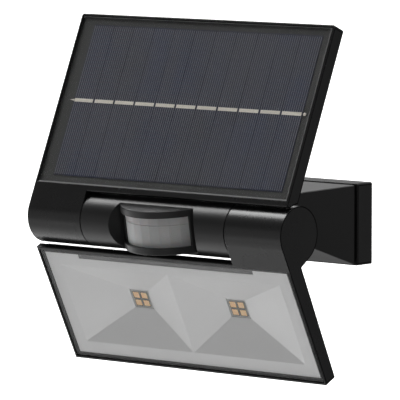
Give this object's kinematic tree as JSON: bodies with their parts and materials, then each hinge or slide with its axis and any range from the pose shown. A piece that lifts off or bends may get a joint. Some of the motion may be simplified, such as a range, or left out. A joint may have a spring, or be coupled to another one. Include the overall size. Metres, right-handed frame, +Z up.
{
  "type": "solar flood light",
  "caption": "Wall light with a solar panel and a lamp head that tilt on one horizontal barrel, round a bowed motion sensor, held off the wall by a flared arm.",
  "frame": {"origin": "middle of the wall plate's back face, midway between its two bolt holes", "axes": "+X to the right as seen from in front, +Y into the wall, +Z up"},
  "size_m": [0.176, 0.1436, 0.1867],
  "materials": {
    "black_housing": "matte moulded ABS with a fine texture",
    "rubber_seal": "soft black rubber",
    "screw_steel": "zinc-plated steel",
    "axle_alloy": "turned aluminium",
    "circuit_board": "glass-fibre board with a green solder mask",
    "board_parts": "moulded component bodies",
    "metal_can": "nickel-plated steel",
    "sensor_lens": "milky polyethylene with fine lens grooves",
    "battery_wrap": null,
    "cell_silicon": "dark blue-grey silicon",
    "ribbon_tin": "tinned copper",
    "backsheet": "dark grey backsheet",
    "panel_glass": "clear low-iron glass",
    "lamp_glass": "clear tempered glass",
    "glass_border": "black printed border behind the glass",
    "reflector_satin": "satin metallised plastic",
    "thermal_pad": "silicone thermal pad",
    "led_board_alloy": "aluminium board with white solder mask",
    "led_ceramic": "white ceramic packages",
    "led_phosphor": "yellow-orange phosphor in silicone"
  },
  "bodies": {
    "bracket": {"wall_plate": "black_housing", "bracket_seal": "rubber_seal", "bracket_arm": "black_housing", "bracket_lock_screws": "screw_steel", "arm_screws": "screw_steel", "button_switch": "board_parts", "switch_board": "circuit_board", "hub_shell": "black_housing", "hub_end_caps": "black_housing", "hinge_seals": "rubber_seal", "sensor_housing": "black_housing", "sensor_lens": "sensor_lens", "sensor_board": "circuit_board", "motion_sensor": "metal_can", "board_components": "board_parts", "board_screws": "screw_steel", "battery_cell": "battery_wrap", "battery_cap": "metal_can", "battery_holders": "board_parts", "battery_contacts": "metal_can"},
    "solar_panel": {"panel_housing": "black_housing", "panel_backsheet": "backsheet", "solar_cells": "cell_silicon", "collector_ribbon": "ribbon_tin", "ribbon_solder": "ribbon_tin", "panel_glass": "panel_glass", "panel_seal": "rubber_seal", "panel_junction_block": "board_parts", "panel_hinge_axle": "axle_alloy", "panel_axle_screws": "screw_steel", "panel_friction_washer": "screw_steel", "panel_axle_nut": "screw_steel"},
    "lamp_head": {"lamp_housing": "black_housing", "lamp_glass": "lamp_glass", "glass_border": "glass_border", "glass_gasket": "rubber_seal", "reflector": "reflector_satin", "reflector_retainer": "reflector_satin", "thermal_pad": "thermal_pad", "led_board": "led_board_alloy", "led_packages": "led_ceramic", "led_phosphors": "led_phosphor", "lamp_hinge_axle": "axle_alloy", "lamp_axle_screws": "screw_steel", "lamp_friction_washer": "screw_steel", "lamp_axle_nut": "screw_steel"},
    "mode_button": {"mode_button": "black_housing"}
  },
  "joints": [
    {"name": "solar_panel_tilt", "type": "hinge", "parent": "bracket", "child": "solar_panel", "pos_m": [0, -0.12, 0.0058], "axis": [1, 0, 0], "range_deg": [-40, 20]},
    {"name": "lamp_head_tilt", "type": "hinge", "parent": "bracket", "child": "lamp_head", "pos_m": [0, -0.12, 0.0058], "axis": [1, 0, 0], "range_deg": [-15, 35]},
    {"name": "mode_button_press", "type": "slide", "parent": "bracket", "child": "mode_button", "axis": [0, 0, 1], "range_m": [0, 0.001], "stiffness_N_per_m": 500, "springref_m": -0.001}
  ]
}
